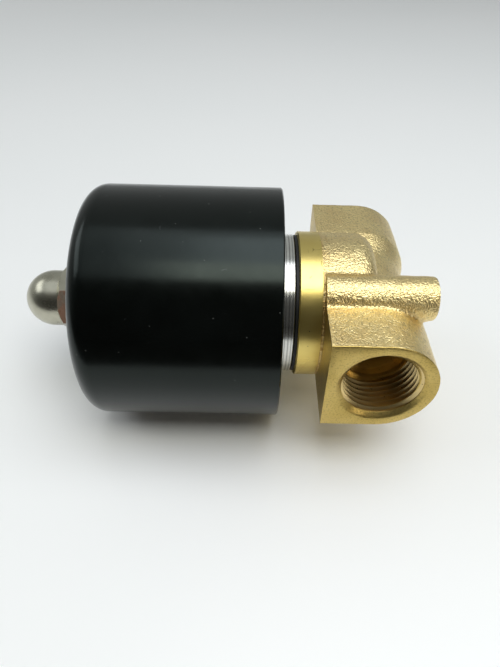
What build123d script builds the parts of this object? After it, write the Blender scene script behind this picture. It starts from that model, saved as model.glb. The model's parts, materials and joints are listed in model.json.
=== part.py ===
from build123d import *
import os
from math import radians, sqrt, tan

# A direct-acting, normally closed two-way solenoid valve with G3/8 ports. It lies on its round
# coil with the ports level: X runs from the dome nut to the valve body, Y is the flow axis and
# Z is up. The origin is the middle of the footprint, on the surface that the coil rests on.
# While the pieces are drawn, X = 0 is the port axis and the stem axis is Y = Z = 0.

# ---- driving dimensions, in millimetres ----

# cross bar of the casting, which holds the two ports
bar_length = 52.0  # port face to port face
bar_round_radius = 11.1  # rounded side, away from the coil, and half the bar's height
bar_flat_depth = 11.0  # port axis to the flat side towards the coil
bar_edge_radius = 0.6
bar_neck_radius = 9.6  # half height of the slimmer middle, between the ports
bar_neck_length = 15.0
bar_neck_slope = 5.5  # length along the bar over which each end of the neck grows to full size

# ports: G3/8, 55 degree thread, drawn as rings of its pitch and depth
thread_major_dia = 16.662
thread_minor_dia = 14.950
thread_pitch = 1.337
thread_half_angle = 27.5  # degrees
thread_length = 9.6
port_depth = 13.0
port_chamfer_dia = 18.1
passage_into_port = 1.3  # how far each passage's cut runs on into its port
thread_cut_inside = 0.25  # how far each ring's cut starts inside the bore

# barrel and machined collar, around the stem axis
barrel_past_bonnet = 0.75  # radial
collar_length = 5.15
barrel_past_port = 0.4
barrel_edge_radius = 4.0
collar_chamfer = 0.25

# two mounting bosses on a circle around the stem axis
boss_width = 9.0
boss_pitch_dia = 28.6
boss_reach = 11.2  # port axis to the boss's end, just past the bar
boss_edge_radius = 1.6
boss_angle = 45.0  # degrees from the front port towards the top
boss_count = 2
boss_hole_dia = 4.2  # tapping drill for M5
boss_hole_depth = 9.0

# inside of the casting
chamber_dia = 21.0
chamber_floor_depth = 9.65  # from the collar's face
seat_outer_dia = 9.0
seat_height = 2.5
orifice_dia = 5.0
outlet_passage_dia = 7.0
outlet_passage_offset = 1.6  # past the port axis, away from the coil
inlet_passage_dia = 6.0
inlet_passage_offset = 3.4  # from the port axis, towards the coil
inlet_well_radius = 8.0  # distance of the inlet well from the stem axis

# bonnet and its gasket
bonnet_spigot_dia = 26.0
gasket_width = 2.35  # radial
gasket_thickness = 0.55
bonnet_past_gasket = 0.1  # radial
bonnet_flange_thickness = 4.2
bonnet_spigot_length = 4.0
bonnet_chamfer = 0.4

# armature tube
tube_outer_dia = 14.5
tube_wall = 0.75
tube_flange_dia = 19.0

# plunger, seal and return spring
plunger_top_length = 31.7  # rim to top face
seal_dia = 9.0
seal_thickness = 2.5
seal_stand_out = 0.3  # how far the seal stands past the plunger's rim
stroke = 2.5
plunger_chamfer = 0.3
spring_pocket_dia = 7.0
spring_pocket_depth = 9.0
spring_outer_dia = 6.5
spring_wire_dia = 0.7
spring_turns = 6.5

# fixed core
core_cap_thickness = 0.8
stud_dia = 7.9  # M8, drawn plain
stud_chamfer = 0.65
stud_engagement = 8.0  # length inside the nut
shading_groove_inner_dia = 8.4
shading_groove_outer_dia = 10.8
shading_groove_depth = 2.0

# coil can
shell_dia = 51.0
shell_length = 41.0
shell_wall = 1.2
shell_corner_radius = 4.0
shell_rim_edge = 0.25
shell_hole_dia = 8.8
bonnet_showing = 3.05  # length of bonnet left in sight between the gasket and the can's rim

# coil inside
disc_spring_height = 0.9
disc_spring_thickness = 0.5
disc_spring_outer_dia = 23.0
flux_plate_thickness = 2.0
flux_sleeve_wall = 1.5
upper_sleeve_length = 10.0
lower_sleeve_length = 12.0
bobbin_wall = 1.0
bobbin_flange_thickness = 1.0
winding_below_flange = 0.68  # radial
tape_thickness = 0.3

# lead grommet, in the side of the can
grommet_from_rim = 10.0
grommet_angle = 40.0  # degrees below level, on the rear port's side
grommet_neck_dia = 8.0
grommet_flange_dia = 11.0
grommet_stand_out = 2.2
grommet_inner_flange = 1.1
grommet_edge_radius = 0.8
lead_hole_dia = 5.2

# dome nut, M8, and what lies under it
nut_across_flats = 13.0
nut_hex_height = 6.5
nut_height = 15.0
nut_dome_dia = 12.5
nut_bore_depth = 11.0
nut_chamfer_angle = 40.0  # degrees from the end faces
nut_washer_face_dia = 12.6
nut_corner_angle = 50.0  # degrees of one corner from the front port's side towards the top
lock_washer_dia = 14.0
lock_washer_thickness = 0.65
lock_washer_tooth_root_dia = 11.0
lock_washer_tooth_width = 1.8
lock_washer_teeth = 8
end_disc_dia = 28.0
end_disc_thickness = 0.3

# ---- clearances, radial unless said ----
seated_gap = 0.02  # pieces fixed to each other: brazed, welded, pressed or screwed up tight
running_gap = 0.075  # plunger in its tube
swivel_gap = 0.10  # coil on the tube
screw_gap = 0.05  # nut and bonnet threads, drawn plain
core_end_gap = 0.65  # along X, between the core's cap and the can's closed end
stud_gap = 0.25  # lock washer's teeth around the stud

# ---- places along the stem axis, worked out from the stack ----
shoulder_x = -bar_flat_depth
collar_x = shoulder_x - collar_length
bonnet_face_x = collar_x - gasket_thickness
bonnet_top_x = bonnet_face_x - bonnet_flange_thickness
spigot_end_x = bonnet_face_x + bonnet_spigot_length
tube_mouth_x = spigot_end_x + tube_wall
chamber_floor_x = collar_x + chamber_floor_depth
seat_x = chamber_floor_x - seat_height
plunger_rim_x = seat_x - seal_stand_out
plunger_top_x = plunger_rim_x - plunger_top_length
core_face_x = plunger_top_x - stroke
rim_x = bonnet_face_x - bonnet_showing
shell_end_x = rim_x - shell_length
shell_inner_end_x = shell_end_x + shell_wall
core_cap_x = shell_inner_end_x + core_end_gap
tube_end_x = core_cap_x + core_cap_thickness
plate_outer_x = bonnet_top_x - disc_spring_height
plate_inner_x = plate_outer_x - flux_plate_thickness
disc_x = shell_end_x - end_disc_thickness
nut_base_x = disc_x - lock_washer_thickness
nut_tip_x = nut_base_x - nut_height
stud_end_x = nut_base_x - stud_engagement

# ---- diameters and radii that fits share ----
spigot_bore_dia = bonnet_spigot_dia + 2 * screw_gap
gasket_outer_dia = spigot_bore_dia + 2 * gasket_width
bonnet_dia = gasket_outer_dia + 2 * bonnet_past_gasket
barrel_dia = bonnet_dia + 2 * barrel_past_bonnet
tube_radius = tube_outer_dia / 2
tube_bore_radius = tube_radius - tube_wall
plunger_radius = tube_bore_radius - running_gap
core_radius = tube_bore_radius - seated_gap
sleeve_bore_radius = tube_radius + swivel_gap
sleeve_radius = sleeve_bore_radius + flux_sleeve_wall
bobbin_bore_radius = sleeve_radius + seated_gap
bobbin_tube_radius = bobbin_bore_radius + bobbin_wall
shell_bore_radius = shell_dia / 2 - shell_wall
shell_inner_corner = shell_corner_radius - shell_wall
bobbin_flange_dia = 2 * (shell_bore_radius - shell_inner_corner - seated_gap)
winding_dia = bobbin_flange_dia - 2 * winding_below_flange
stud_radius = stud_dia / 2

# ---- where the part lies ----
body_end_x = max(boss_reach, bar_round_radius)
overall_length = body_end_x - nut_tip_x
port_axis_x = overall_length / 2 - body_end_x
stem_height = shell_dia / 2
placing = Pos(port_axis_x, 0, stem_height)
lead_placing = Pos(rim_x - grommet_from_rim, 0, 0) * Rot(-90 - grommet_angle, 0, 0)


def rod(dia, x_from, x_to):
    """A cylinder on the stem axis between two X places."""
    return extrude(Plane.YZ.offset(x_from) * Circle(dia / 2), amount=x_to - x_from)


def ring(outer_dia, inner_dia, x_from, x_to):
    """A round washer or tube on the stem axis."""
    return rod(outer_dia, x_from, x_to) - rod(inner_dia, x_from, x_to)


def coil_side_edges(shape):
    """The edges around a shape's end towards the dome nut."""
    return shape.edges().group_by(Axis.X)[0]


def body_side_edges(shape):
    """The edges around a shape's end away from the dome nut."""
    return shape.edges().group_by(Axis.X)[-1]


# ---- valve body ----


def bar_outline(radius):
    """The bar's section: flat towards the coil, half round away from it."""
    flat_part = Pos(-bar_flat_depth / 2, 0) * Rectangle(bar_flat_depth, 2 * radius)
    round_side = Pos(radius / 2, 0) * Rectangle(radius, 2 * radius)
    return flat_part + (Circle(radius) & round_side)


def make_neck_space():
    """What is taken off the bar's middle, between the ports."""
    neck_end = bar_neck_length / 2
    slope_end = neck_end + bar_neck_slope
    neck = extrude(Plane.XZ * bar_outline(bar_neck_radius), amount=neck_end, both=True)
    for side in (-1, 1):
        small = Plane.XZ.offset(side * neck_end) * bar_outline(bar_neck_radius)
        large = Plane.XZ.offset(side * slope_end) * bar_outline(bar_round_radius)
        neck += loft([small, large], ruled=True)
    flat_side = bar_flat_depth - bar_edge_radius
    around = Pos((bar_round_radius - flat_side) / 2, 0, 0) * Box(
        bar_round_radius + flat_side, 2 * slope_end, 2 * bar_round_radius
    )
    return around - neck


def make_bar():
    """The cross bar that holds both ports, a little slimmer between them."""
    bar = extrude(Plane.XZ * bar_outline(bar_round_radius), amount=bar_length / 2, both=True)
    return fillet(coil_side_edges(bar).filter_by(Axis.Y), bar_edge_radius) - make_neck_space()


def make_boss():
    """One mounting boss: half round outside, and as wide all the way in to the stem axis."""
    out = boss_pitch_dia / 2
    outline = Pos(out / 2, 0) * Rectangle(out, boss_width) + Pos(out, 0) * Circle(boss_width / 2)
    boss = extrude(Plane.YZ.offset(shoulder_x) * outline, amount=boss_reach - shoulder_x)
    outer_edges = body_side_edges(boss).filter_by(Axis.Z, reverse=True)
    return fillet(outer_edges, boss_edge_radius)


def make_thread_groove():
    """One turn of the port's thread, drawn as a ring around Z that is centred on Z = 0."""
    minor_radius = thread_minor_dia / 2
    major_radius = thread_major_dia / 2
    flank = (major_radius - minor_radius) * tan(radians(thread_half_angle))
    root_half = (thread_pitch / 2 - flank) / 2
    mouth_half = root_half + flank
    section = Polyline(
        (minor_radius - thread_cut_inside, 0, -mouth_half),
        (minor_radius, 0, -mouth_half),
        (major_radius, 0, -root_half),
        (major_radius, 0, root_half),
        (minor_radius, 0, mouth_half),
        (minor_radius - thread_cut_inside, 0, mouth_half),
        close=True,
    )
    return revolve(make_face(section), Axis.Z)


def make_port_space():
    """Everything cut away at one port, with its axis on +Z and its face at Z = 0."""
    mouth_depth = (port_chamfer_dia - thread_minor_dia) / 2
    bore = Pos(0, 0, -port_depth / 2) * Cylinder(thread_minor_dia / 2, port_depth)
    mouth = Pos(0, 0, -mouth_depth / 2) * Cone(thread_minor_dia / 2, port_chamfer_dia / 2, mouth_depth)
    space = bore + mouth
    for turn in range(int(thread_length / thread_pitch)):
        space += Pos(0, 0, (turn + 0.5) * thread_pitch - thread_length) * make_thread_groove()
    return space


def make_inside():
    """Chamber, seat, orifice and the two passages from the ports."""
    screw_bore = rod(spigot_bore_dia, collar_x, tube_mouth_x)
    chamber = rod(chamber_dia, collar_x, chamber_floor_x)
    seat = rod(seat_outer_dia, seat_x, chamber_floor_x)
    orifice = rod(orifice_dia, seat_x, outlet_passage_offset)
    inner_end = bar_length / 2 - port_depth
    along_y = Plane.XZ
    outlet = extrude(
        along_y * Pos(outlet_passage_offset, 0) * Circle(outlet_passage_dia / 2),
        amount=-(inner_end + passage_into_port),
    )
    well = Pos(0, -inlet_well_radius, 0) * rod(inlet_passage_dia, chamber_floor_x, -inlet_passage_offset)
    inlet = extrude(
        Plane.XZ.offset(inlet_well_radius)
        * Pos(-inlet_passage_offset, 0)
        * Circle(inlet_passage_dia / 2),
        amount=inner_end - inlet_well_radius + passage_into_port,
    )
    return screw_bore + (chamber - seat) + orifice + outlet + well + inlet


def make_valve_body():
    barrel = rod(barrel_dia, collar_x, barrel_past_port)
    barrel = fillet(body_side_edges(barrel), barrel_edge_radius)
    barrel = chamfer(coil_side_edges(barrel), collar_chamfer)
    casting = barrel + make_bar()
    for turn in range(boss_count):
        angle = 180 - boss_angle + turn * 360 / boss_count
        casting += Rot(angle, 0, 0) * make_boss()
    casting -= make_inside()
    for face_turn in (90, -90):
        casting -= Rot(face_turn, 0, 0) * Pos(0, 0, bar_length / 2) * make_port_space()
    for turn in range(boss_count):
        angle = 180 - boss_angle + turn * 360 / boss_count
        hole = Pos(0, boss_pitch_dia / 2, 0) * rod(boss_hole_dia, boss_reach - boss_hole_depth, boss_reach)
        casting -= Rot(angle, 0, 0) * hole
    return casting


# ---- bonnet, armature tube and what moves in it ----


def make_bonnet():
    """Turned steel ring: a flange that shows, a screwed spigot, and a bore for the tube."""
    flange = rod(bonnet_dia, bonnet_top_x, bonnet_face_x)
    flange = chamfer(coil_side_edges(flange) + body_side_edges(flange), bonnet_chamfer)
    spigot = rod(bonnet_spigot_dia, bonnet_face_x, spigot_end_x)
    return flange + spigot - rod(tube_outer_dia + 2 * seated_gap, bonnet_top_x, spigot_end_x)


def make_bonnet_gasket():
    return ring(gasket_outer_dia, spigot_bore_dia, bonnet_face_x, collar_x)


def make_armature_tube():
    """Thin tube with a rolled flange that the bonnet's spigot holds down."""
    tube = rod(tube_outer_dia, tube_end_x, tube_mouth_x)
    flange = rod(tube_flange_dia, spigot_end_x, tube_mouth_x)
    return tube + flange - rod(2 * tube_bore_radius, tube_end_x, tube_mouth_x)


def make_fixed_core():
    """Pole piece in the tube's end, its cap welded over the tube, and the stud for the nut."""
    core = rod(2 * core_radius, tube_end_x, core_face_x)
    cap = rod(tube_outer_dia, core_cap_x, tube_end_x)
    stud = rod(stud_dia, stud_end_x, core_cap_x)
    stud = chamfer(coil_side_edges(stud), stud_chamfer)
    groove_end_x = core_face_x - shading_groove_depth
    groove = ring(shading_groove_outer_dia, shading_groove_inner_dia, groove_end_x, core_face_x)
    return core + cap + stud - groove


def make_shading_ring():
    outer_dia = shading_groove_outer_dia - 2 * seated_gap
    inner_dia = shading_groove_inner_dia + 2 * seated_gap
    return ring(outer_dia, inner_dia, core_face_x - shading_groove_depth, core_face_x)


def make_plunger():
    """The armature, with a pocket for the spring at its top and one for the seal at its foot."""
    plunger = rod(2 * plunger_radius, plunger_top_x, plunger_rim_x)
    plunger = chamfer(coil_side_edges(plunger) + body_side_edges(plunger), plunger_chamfer)
    plunger -= rod(spring_pocket_dia, plunger_top_x, plunger_top_x + spring_pocket_depth)
    seal_back_x = seat_x - seal_thickness
    return plunger - rod(seal_dia + 2 * seated_gap, seal_back_x, plunger_rim_x)


def make_plunger_seal():
    return rod(seal_dia, seat_x - seal_thickness, seat_x)


def make_plunger_spring():
    """Round wire wound from the bottom of the plunger's pocket to the core's face."""
    length = stroke + spring_pocket_depth - spring_wire_dia - 2 * seated_gap
    path = Helix(length / spring_turns, length, (spring_outer_dia - spring_wire_dia) / 2)
    section_plane = Plane(origin=path @ 0, x_dir=(0, 0, 1), z_dir=path % 0)
    spring = sweep(section_plane * Circle(spring_wire_dia / 2), path=path, is_frenet=True)
    foot_x = core_face_x + spring_wire_dia / 2 + seated_gap
    return Pos(foot_x, 0, 0) * Rot(0, 90, 0) * spring


# ---- coil ----


def make_coil_shell():
    """Drawn steel can: round corner and a hole at the closed end, a hole for the leads."""
    outside = rod(shell_dia, shell_end_x, rim_x)
    outside = fillet(coil_side_edges(outside), shell_corner_radius)
    outside = chamfer(body_side_edges(outside), shell_rim_edge)
    inside = rod(2 * shell_bore_radius, shell_inner_end_x, rim_x)
    inside = fillet(coil_side_edges(inside), shell_inner_corner)
    shell = outside - inside - rod(shell_hole_dia, shell_end_x, shell_inner_end_x)
    return shell - lead_placing * column(grommet_neck_dia + 2 * seated_gap, sleeve_radius, shell_dia)


def make_flux_plate():
    """Steel plate pressed into the can's open end, around the tube."""
    outer_dia = 2 * (shell_bore_radius - seated_gap)
    return ring(outer_dia, 2 * sleeve_bore_radius, plate_inner_x, plate_outer_x)


def make_disc_spring():
    """Coned spring washer: its inner edge bears on the flux plate, its outer on the bonnet."""
    inner_radius = sleeve_bore_radius
    outer_radius = disc_spring_outer_dia / 2
    section = Polyline(
        (plate_outer_x, inner_radius),
        (plate_outer_x + disc_spring_thickness, inner_radius),
        (bonnet_top_x, outer_radius),
        (bonnet_top_x - disc_spring_thickness, outer_radius),
        close=True,
    )
    return revolve(make_face(section), Axis.X)


def make_upper_flux_sleeve():
    sleeve_end_x = shell_inner_end_x + upper_sleeve_length
    return ring(2 * sleeve_radius, 2 * sleeve_bore_radius, shell_inner_end_x, sleeve_end_x)


def make_lower_flux_sleeve():
    sleeve_end_x = plate_inner_x - lower_sleeve_length
    return ring(2 * sleeve_radius, 2 * sleeve_bore_radius, sleeve_end_x, plate_inner_x)


def make_coil_bobbin():
    """Moulded former: a tube over the flux sleeves and a flange at each end."""
    foot_x = plate_inner_x - bobbin_flange_thickness
    head_x = shell_inner_end_x + bobbin_flange_thickness
    tube = rod(2 * bobbin_tube_radius, shell_inner_end_x, plate_inner_x)
    foot = rod(bobbin_flange_dia, foot_x, plate_inner_x)
    head = rod(bobbin_flange_dia, shell_inner_end_x, head_x)
    return tube + foot + head - rod(2 * bobbin_bore_radius, shell_inner_end_x, plate_inner_x)


def make_wound_ring(outer_dia, inner_dia):
    """A ring of what is wound between the bobbin's flanges."""
    foot_x = plate_inner_x - bobbin_flange_thickness - seated_gap
    head_x = shell_inner_end_x + bobbin_flange_thickness + seated_gap
    return ring(outer_dia, inner_dia, head_x, foot_x)


def make_coil_winding():
    return make_wound_ring(winding_dia, 2 * (bobbin_tube_radius + seated_gap))


def make_winding_tape():
    inner_dia = winding_dia + 2 * seated_gap
    return make_wound_ring(inner_dia + 2 * tape_thickness, inner_dia)


def column(dia, from_height, to_height):
    """A cylinder on the Z axis between two heights."""
    return extrude(Plane.XY.offset(from_height) * Circle(dia / 2), amount=to_height - from_height)


def make_lead_grommet():
    """Rubber grommet that hugs the can's wall inside and out, with one hole for the leads."""
    top = shell_dia / 2 + grommet_stand_out
    bottom = shell_bore_radius - grommet_inner_flange
    outer_flange = column(grommet_flange_dia, shell_bore_radius, top)
    outer_flange = fillet(outer_flange.edges().group_by(Axis.Z)[-1], grommet_edge_radius)
    outer_flange -= rod(shell_dia + 2 * seated_gap, -grommet_flange_dia, grommet_flange_dia)
    inner_flange = column(grommet_flange_dia, bottom, shell_dia / 2)
    inner_flange &= rod(2 * (shell_bore_radius - seated_gap), -grommet_flange_dia, grommet_flange_dia)
    neck = column(grommet_neck_dia, bottom, top)
    grommet = neck + outer_flange + inner_flange - column(lead_hole_dia, bottom, top)
    return lead_placing * grommet


# ---- end disc, washer and dome nut ----


def make_end_disc():
    """Thin blank disc on the can's closed end."""
    return ring(end_disc_dia, shell_hole_dia, disc_x, shell_end_x)


def make_lock_washer():
    """Flat washer with teeth that point in to the stud."""
    washer = ring(lock_washer_dia, lock_washer_tooth_root_dia, nut_base_x, disc_x)
    tooth_tip = stud_radius + stud_gap
    tooth_root = (lock_washer_tooth_root_dia + lock_washer_dia) / 4
    outline = Pos((tooth_tip + tooth_root) / 2, 0) * Rectangle(tooth_root - tooth_tip, lock_washer_tooth_width)
    tooth = extrude(Plane.YZ.offset(nut_base_x) * outline, amount=lock_washer_thickness)
    for turn in range(lock_washer_teeth):
        washer += Rot(360 * turn / lock_washer_teeth, 0, 0) * tooth
    return washer


def make_dome_nut():
    """Hexagon with both ends chamfered, a short neck and a half-round dome over the thread."""
    corner_radius = nut_across_flats / sqrt(3)
    dome_radius = nut_dome_dia / 2
    dome_x = nut_tip_x + dome_radius
    hex_top_x = nut_base_x - nut_hex_height
    hexagon = extrude(Plane.YZ.offset(hex_top_x) * RegularPolygon(corner_radius, 6), amount=nut_hex_height)
    hexagon = Rot(180 - nut_corner_angle, 0, 0) * hexagon
    slope = tan(radians(nut_chamfer_angle))
    turned_outline = Polyline(
        (hex_top_x, 0),
        (hex_top_x, dome_radius),
        (hex_top_x + (corner_radius - dome_radius) * slope, corner_radius),
        (nut_base_x - (corner_radius - nut_washer_face_dia / 2) * slope, corner_radius),
        (nut_base_x, nut_washer_face_dia / 2),
        (nut_base_x, 0),
        close=True,
    )
    hexagon &= revolve(make_face(turned_outline), Axis.X)
    half_way = dome_radius * sqrt(0.5)
    dome_outline = [
        ThreePointArc((nut_tip_x, 0), (dome_x - half_way, half_way), (dome_x, dome_radius)),
        Polyline((dome_x, dome_radius), (hex_top_x, dome_radius), (hex_top_x, 0), (nut_tip_x, 0)),
    ]
    dome = revolve(make_face(Curve() + dome_outline), Axis.X)
    bore = rod(stud_dia + 2 * screw_gap, nut_base_x - nut_bore_depth, nut_base_x)
    return hexagon + dome - bore


pieces = {
    "valve_body": make_valve_body,
    "bonnet_gasket": make_bonnet_gasket,
    "bonnet": make_bonnet,
    "armature_tube": make_armature_tube,
    "fixed_core": make_fixed_core,
    "shading_ring": make_shading_ring,
    "plunger": make_plunger,
    "plunger_seal": make_plunger_seal,
    "plunger_spring": make_plunger_spring,
    "coil_shell": make_coil_shell,
    "flux_plate": make_flux_plate,
    "upper_flux_sleeve": make_upper_flux_sleeve,
    "lower_flux_sleeve": make_lower_flux_sleeve,
    "coil_bobbin": make_coil_bobbin,
    "coil_winding": make_coil_winding,
    "winding_tape": make_winding_tape,
    "disc_spring": make_disc_spring,
    "lead_grommet": make_lead_grommet,
    "end_disc": make_end_disc,
    "lock_washer": make_lock_washer,
    "dome_nut": make_dome_nut,
}

os.makedirs("parts", exist_ok=True)
for name, make_piece in pieces.items():
    export_step(placing * make_piece(), f"parts/{name}.step")
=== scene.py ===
# %% [markdown]
# # A brass solenoid valve with a round coil
#
# A solenoid valve opens and shuts a pipe with a magnet. This one has a brass casting with two
# threaded ports, and a coil in a black steel can that a dome nut holds on a steel tube. The sizes
# and the joints come from the CAD model. This lesson gives the valve its looks: it models the
# casting again with the soft corners that a foundry leaves, and paints every piece with a
# material that is worked out from how the real surface was made.

import json
import math

import bmesh
import bpy
from mathutils import Matrix, Vector


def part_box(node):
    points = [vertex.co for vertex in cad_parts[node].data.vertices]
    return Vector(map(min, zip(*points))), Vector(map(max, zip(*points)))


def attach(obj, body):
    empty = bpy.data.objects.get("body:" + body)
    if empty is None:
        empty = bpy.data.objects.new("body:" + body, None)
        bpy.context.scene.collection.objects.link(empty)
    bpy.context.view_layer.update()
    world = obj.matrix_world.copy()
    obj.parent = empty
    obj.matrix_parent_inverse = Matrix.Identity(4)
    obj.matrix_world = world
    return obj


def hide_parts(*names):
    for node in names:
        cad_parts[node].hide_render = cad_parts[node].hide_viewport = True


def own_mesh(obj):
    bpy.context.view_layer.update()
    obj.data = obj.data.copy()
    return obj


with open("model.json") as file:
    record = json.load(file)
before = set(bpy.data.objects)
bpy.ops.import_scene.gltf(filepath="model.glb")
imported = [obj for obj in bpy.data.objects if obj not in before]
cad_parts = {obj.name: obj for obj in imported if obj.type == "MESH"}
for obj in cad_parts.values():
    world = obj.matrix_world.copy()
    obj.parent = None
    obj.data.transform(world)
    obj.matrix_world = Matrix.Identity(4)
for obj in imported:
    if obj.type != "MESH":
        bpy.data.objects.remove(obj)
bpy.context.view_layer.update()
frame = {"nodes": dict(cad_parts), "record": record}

# %% [markdown]
# ## Units and a few measures
#
# Everything in the scene is in metres, but a valve is drawn in millimetres, so one constant turns
# one into the other. The places of the big faces are read from the CAD pieces, so that nothing has
# to be fitted by eye: the can, the casting and the port axis are where the frame says they are.

# %% Measures that several cells share
MM = 0.001
TOUCH = 1e-6  # metres: points that are nearer than this count as one place

can_low, can_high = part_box("coil_shell")
body_low, body_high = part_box("valve_body")
nut_low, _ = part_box("dome_nut")
mounts = {mount["name"]: mount for mount in frame["record"]["mounts"]}
stem_height = (can_low.z + can_high.z) / 2
port_axis_x = mounts["inlet_port"]["pos_m"][0]
port_face_y = body_high.y
print("stem axis:", round(stem_height / MM, 2), "mm up")
print("port axis: x =", round(port_axis_x / MM, 2), "mm")

# %% [markdown]
# ## The camera
#
# The valve is seen from above its front port, from about 120 mm away. That is close for a thing of
# 88 mm, so the camera has a fairly wide lens, and the near port looks larger than the far one. The
# camera leans a little, as one held in the hand does, and its middle is a little to one side.

# %% Camera
camera_place = Vector((7.17, -95.82, 102.75)) * MM
camera_down = 42.43  # degrees that it looks down
camera_turn = -0.72  # degrees that it looks to the side
camera_roll = 1.26  # degrees that it leans
lens_mm = 28.8378
sensor_mm = 36

camera_data = bpy.data.cameras.new("camera")
camera_data.sensor_width = sensor_mm
camera_data.lens = lens_mm
camera_data.shift_x = -0.0128
camera_data.shift_y = 0.0028
camera_data.clip_start = 0.005
camera = bpy.data.objects.new("camera", camera_data)
look = Matrix.Rotation(math.radians(90 - camera_down), 4, "X")
look = look @ Matrix.Rotation(math.radians(camera_turn), 4, "Y")
look = look @ Matrix.Rotation(math.radians(camera_roll), 4, "Z")
camera.matrix_world = Matrix.Translation(camera_place) @ look
bpy.context.scene.collection.objects.link(camera)
bpy.context.scene.camera = camera
bpy.context.scene.view_settings.view_transform = "Standard"
to_valve = (camera_place - Vector((0, 0, stem_height))).length
print("camera:", round(to_valve / MM), "mm from the valve's middle, lens", lens_mm, "mm")

# %% [markdown]
# ## Helpers for materials
#
# A material is a graph of nodes. One small function adds a node and feeds its inputs, so that a
# material below reads from top to bottom. Colours are written as sRGB hex values, as in a paint
# book, and one function turns them into the linear numbers that light is reckoned in.

# %% Colour and node helpers


def colour(hex_value):
    """An sRGB hex colour such as "#C8A45A" as linear red, green, blue and alpha."""
    channels = [int(hex_value[i:i + 2], 16) / 255 for i in (1, 3, 5)]
    linear = [c / 12.92 if c <= 0.04045 else ((c + 0.055) / 1.055) ** 2.4 for c in channels]
    return (*linear, 1.0)


def grey(value):
    """A grey of this linear value."""
    return (value, value, value, 1.0)


def add_node(tree, kind, inputs=None, **settings):
    """Add one node. Its inputs go by name or number: a socket is linked, a value is set."""
    node = tree.nodes.new("ShaderNode" + kind)
    for name, value in settings.items():
        setattr(node, name, value)
    for key, feed in (inputs or {}).items():
        if isinstance(feed, bpy.types.NodeSocket):
            tree.links.new(feed, node.inputs[key])
        else:
            node.inputs[key].default_value = feed
    return node


def new_material(name, **surface):
    """A named material: itself, its node tree, its Principled shader and Object coordinates."""
    material = bpy.data.materials.new(name)
    material.use_nodes = True
    tree = material.node_tree
    tree.nodes.clear()
    shader = add_node(tree, "BsdfPrincipled", surface)
    add_node(tree, "OutputMaterial", {"Surface": shader.outputs["BSDF"]})
    place = add_node(tree, "TexCoord").outputs["Object"]
    return material, tree, shader, place


print("brass in linear light:", [round(c, 3) for c in colour("#D6B36A")])

# %% [markdown]
# A pattern starts as noise of a known size in millimetres. It is then mapped: to a colour, to a
# range of roughness, to a mask that fades in, or to a height that makes the surface uneven.

# %% Node helpers for patterns


def per_metre(size_mm):
    """The scale that makes a noise pattern's features about this many millimetres wide."""
    return 1 / (size_mm * MM)


def cloudy(tree, place, size_mm, detail=3.0, roughness=0.5):
    """Soft blotches about this many millimetres wide."""
    inputs = {
        "Vector": place,
        "Scale": per_metre(size_mm),
        "Detail": detail,
        "Roughness": roughness,
    }
    return add_node(tree, "TexNoise", inputs).outputs["Fac"]


def ramp(tree, factor, stops):
    """A colour ramp through (position, colour) stops."""
    node = add_node(tree, "ValToRGB", {"Fac": factor})
    while len(node.color_ramp.elements) < len(stops):
        node.color_ramp.elements.new(0.5)
    for element, (position, value) in zip(node.color_ramp.elements, stops):
        element.position = position
        element.color = value
    return node.outputs["Color"]


def two_tones(tree, factor, dark, light, start=0.3):
    """A colour that goes from dark to light as a pattern rises."""
    return ramp(tree, factor, [(start, colour(dark)), (0.7, colour(light))])


def calc(tree, operation, first, second):
    """What a Math node makes of two inputs, each a socket or a number."""
    return add_node(tree, "Math", {0: first, 1: second}, operation=operation).outputs[0]


def span(tree, factor, low, high):
    """Map a 0 to 1 factor to the range low to high."""
    inputs = {"Value": factor, "To Min": low, "To Max": high}
    return add_node(tree, "MapRange", inputs).outputs["Result"]


def fade_in(tree, value, start, full):
    """0 where the value is below start, 1 where it is past full."""
    inputs = {"Value": value, "From Min": start, "From Max": full}
    return add_node(tree, "MapRange", inputs).outputs["Result"]


def add_bump(tree, shader, height, height_mm):
    """Make the surface uneven: white stands this many millimetres above black."""
    inputs = {"Strength": 1.0, "Distance": height_mm * MM, "Height": height}
    bump = add_node(tree, "Bump", inputs)
    tree.links.new(bump.outputs["Normal"], shader.inputs["Normal"])


print("a pattern of 0.5 mm has the scale", round(per_metre(0.5)))

# %% [markdown]
# ## Stage
#
# The valve lies on a big white sheet on a dark table. The sheet ends a hand's width in front of the
# valve, outside the picture. The dark table past its edge is worth having all the same: polished
# things mirror it, and it is what makes the low front of the black can look truly black.

# %% White sheet and dark table
sheet_front_y = -82 * MM
sheet_size = 16.0
table_size = 12.0
sheet_lift = 1 * MM


def flat_piece(name, size, y, z, material):
    """Lay a square in the scene as a piece of the stage, with its middle at y and z."""
    bm = bmesh.new()
    bmesh.ops.create_grid(bm, x_segments=1, y_segments=1, size=size / 2)
    bmesh.ops.translate(bm, verts=bm.verts, vec=(0, y, z))
    mesh = bpy.data.meshes.new(name)
    bm.to_mesh(mesh)
    bm.free()
    mesh.materials.append(material)
    made = bpy.data.objects.new(name, mesh)
    bpy.context.scene.collection.objects.link(made)


def matt(name, dark, light, rough, size_mm):
    """A matt surface with soft clouds of tone."""
    material, tree, shader, place = new_material(name, Roughness=rough)
    tone = two_tones(tree, cloudy(tree, place, size_mm, 2), dark, light)
    tree.links.new(tone, shader.inputs["Base Color"])
    return material


white_plastic = matt("matt white plastic sheet", "#F9FAF8", "#FCFCFA", 0.35, 180)
dark_wood = matt("dark stained table top", "#2B2927", "#35322F", 0.6, 60)
flat_piece("white_sheet", sheet_size, sheet_front_y + sheet_size / 2, 0, white_plastic)
flat_piece("table", table_size, -table_size / 2, -sheet_lift, dark_wood)
print("the sheet ends", round(-sheet_front_y / MM), "mm in front of the stem")

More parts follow.
